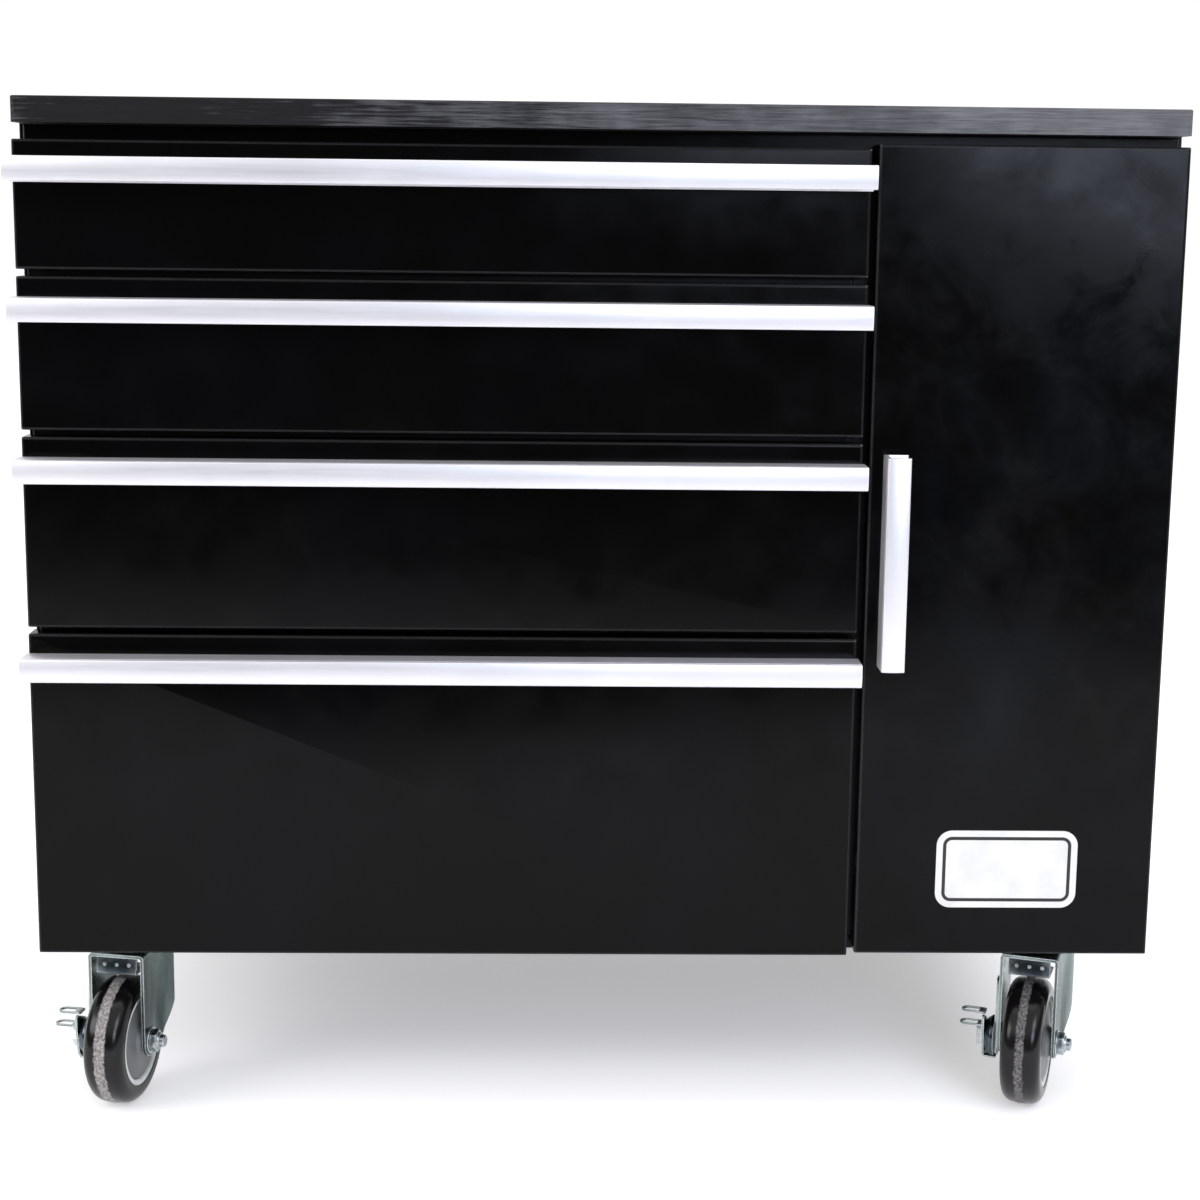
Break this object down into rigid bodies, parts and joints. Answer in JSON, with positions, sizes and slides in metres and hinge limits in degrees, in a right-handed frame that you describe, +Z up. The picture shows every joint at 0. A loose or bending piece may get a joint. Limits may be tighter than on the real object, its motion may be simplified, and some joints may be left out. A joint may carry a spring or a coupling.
{
  "type": "rolling tool chest",
  "caption": "Black steel rolling tool chest: drawers on full-extension slides, a side cupboard door, aluminium channel pulls, flat worktop, swivel casters with foot brakes.",
  "frame": {"origin": "on the floor, under the middle of the chest's bounding box at rest", "axes": "+X to the right seen from the front, +Y towards the back, +Z up; the drawers and the door face -Y"},
  "size_m": [0.865, 0.6306, 0.7823],
  "materials": {
    "painted_steel": "semi-gloss black powder coat",
    "worktop_board": "satin black laminate, lightly scuffed",
    "anodised_aluminium": "satin silver anodised",
    "zinc_steel": "bright zinc plate, slightly blue",
    "tread": "glossy dark tread with a dusty band",
    "wheel_core": "light grey rim round a dark grey hub cover",
    "slide_steel": "zinc-plated rolled steel",
    "catch_plastic": "moulded black",
    "screw_steel": "zinc-plated fasteners"
  },
  "bodies": {
    "chest": {"side_panel_left": "painted_steel", "side_panel_right": "painted_steel", "back_panel": "painted_steel", "base_pan": "painted_steel", "top_frame": "painted_steel", "centre_divider": "painted_steel", "drawer_rails": "painted_steel", "worktop": "worktop_board", "worktop_screws": "screw_steel", "shelf": "painted_steel", "shelf_clips": "zinc_steel", "slide_outers": "slide_steel", "caster_plates": "zinc_steel", "caster_bolts": "screw_steel", "door_hinge_arms": "zinc_steel", "door_catch": "catch_plastic"},
    "door": {"door_panel": "painted_steel", "door_handle": "anodised_aluminium", "door_hinge_brackets": "zinc_steel", "catch_strike": "zinc_steel"},
    "drawer_1": {"drawer_box_1": "painted_steel", "drawer_front_1": "painted_steel", "drawer_handle_1": "anodised_aluminium", "slide_inner_1": "slide_steel"},
    "slides_1": {"slide_middle_1": "slide_steel"},
    "drawer_2": {"drawer_box_2": "painted_steel", "drawer_front_2": "painted_steel", "drawer_handle_2": "anodised_aluminium", "slide_inner_2": "slide_steel"},
    "slides_2": {"slide_middle_2": "slide_steel"},
    "drawer_3": {"drawer_box_3": "painted_steel", "drawer_front_3": "painted_steel", "drawer_handle_3": "anodised_aluminium", "slide_inner_3": "slide_steel"},
    "slides_3": {"slide_middle_3": "slide_steel"},
    "drawer_4": {"drawer_box_4": "painted_steel", "drawer_front_4": "painted_steel", "drawer_handle_4": "anodised_aluminium", "slide_inner_4": "slide_steel"},
    "slides_4": {"slide_middle_4": "slide_steel"},
    "caster_front_left": {"fork_front_left": "zinc_steel", "axle_bolt_front_left": "zinc_steel", "brake_shoe_front_left": "zinc_steel"},
    "wheel_front_left": {"wheel_tread_front_left": "tread", "wheel_core_front_left": "wheel_core"},
    "brake_front_left": {"brake_lever_front_left": "zinc_steel"},
    "caster_front_right": {"fork_front_right": "zinc_steel", "axle_bolt_front_right": "zinc_steel", "brake_shoe_front_right": "zinc_steel"},
    "wheel_front_right": {"wheel_tread_front_right": "tread", "wheel_core_front_right": "wheel_core"},
    "brake_front_right": {"brake_lever_front_right": "zinc_steel"},
    "caster_rear_left": {"fork_rear_left": "zinc_steel", "axle_bolt_rear_left": "zinc_steel"},
    "wheel_rear_left": {"wheel_tread_rear_left": "tread", "wheel_core_rear_left": "wheel_core"},
    "caster_rear_right": {"fork_rear_right": "zinc_steel", "axle_bolt_rear_right": "zinc_steel"},
    "wheel_rear_right": {"wheel_tread_rear_right": "tread", "wheel_core_rear_right": "wheel_core"}
  },
  "joints": [
    {"name": "door_swing", "type": "hinge", "parent": "chest", "child": "door", "pos_m": [0.4235, -0.2803, 0.44495], "axis": [0, 0, 1], "range_deg": [0, 110]},
    {"name": "drawer_1_travel", "type": "slide", "parent": "chest", "child": "drawer_1", "axis": [0, -1, 0], "range_m": [0, 0.5]},
    {"name": "slides_1_travel", "type": "slide", "parent": "chest", "child": "slides_1", "axis": [0, -1, 0], "range_m": [0, 0.25]},
    {"name": "drawer_2_travel", "type": "slide", "parent": "chest", "child": "drawer_2", "axis": [0, -1, 0], "range_m": [0, 0.5]},
    {"name": "slides_2_travel", "type": "slide", "parent": "chest", "child": "slides_2", "axis": [0, -1, 0], "range_m": [0, 0.25]},
    {"name": "drawer_3_travel", "type": "slide", "parent": "chest", "child": "drawer_3", "axis": [0, -1, 0], "range_m": [0, 0.5]},
    {"name": "slides_3_travel", "type": "slide", "parent": "chest", "child": "slides_3", "axis": [0, -1, 0], "range_m": [0, 0.25]},
    {"name": "drawer_4_travel", "type": "slide", "parent": "chest", "child": "drawer_4", "axis": [0, -1, 0], "range_m": [0, 0.5]},
    {"name": "slides_4_travel", "type": "slide", "parent": "chest", "child": "slides_4", "axis": [0, -1, 0], "range_m": [0, 0.25]},
    {"name": "swivel_front_left", "type": "hinge", "parent": "chest", "child": "caster_front_left", "pos_m": [-0.3647, -0.2125, 0.1241], "axis": [0, 0, 1], "continuous": true},
    {"name": "roll_front_left", "type": "hinge", "parent": "caster_front_left", "child": "wheel_front_left", "pos_m": [-0.37383, -0.25656, 0.0508], "axis": [0.9792, -0.2028, 0], "continuous": true},
    {"name": "brake_front_left", "type": "hinge", "parent": "caster_front_left", "child": "brake_front_left", "pos_m": [-0.37383, -0.25656, 0.0508], "axis": [0.9792, -0.2028, 0], "range_deg": [-12, 14]},
    {"name": "swivel_front_right", "type": "hinge", "parent": "chest", "child": "caster_front_right", "pos_m": [0.3661, -0.2125, 0.1241], "axis": [0, 0, 1], "continuous": true},
    {"name": "roll_front_right", "type": "hinge", "parent": "caster_front_right", "child": "wheel_front_right", "pos_m": [0.35056, -0.25473, 0.0508], "axis": [0.9385, -0.3453, 0], "continuous": true},
    {"name": "brake_front_right", "type": "hinge", "parent": "caster_front_right", "child": "brake_front_right", "pos_m": [0.35056, -0.25473, 0.0508], "axis": [0.9385, -0.3453, 0], "range_deg": [-12, 14]},
    {"name": "swivel_rear_left", "type": "hinge", "parent": "chest", "child": "caster_rear_left", "pos_m": [-0.3647, 0.2407, 0.1241], "axis": [0, 0, 1], "continuous": true},
    {"name": "roll_rear_left", "type": "hinge", "parent": "caster_rear_left", "child": "wheel_rear_left", "pos_m": [-0.37559, 0.19704, 0.0508], "axis": [0.9703, -0.2419, 0], "continuous": true},
    {"name": "swivel_rear_right", "type": "hinge", "parent": "chest", "child": "caster_rear_right", "pos_m": [0.3661, 0.2407, 0.1241], "axis": [0, 0, 1], "continuous": true},
    {"name": "roll_rear_right", "type": "hinge", "parent": "caster_rear_right", "child": "wheel_rear_right", "pos_m": [0.37314, 0.19625, 0.0508], "axis": [0.9877, 0.1564, 0], "continuous": true}
  ],
  "couplings": [
    {"joint": "slides_1_travel", "follows": "drawer_1_travel", "ratio": 0.5},
    {"joint": "slides_2_travel", "follows": "drawer_2_travel", "ratio": 0.5},
    {"joint": "slides_3_travel", "follows": "drawer_3_travel", "ratio": 0.5},
    {"joint": "slides_4_travel", "follows": "drawer_4_travel", "ratio": 0.5}
  ]
}
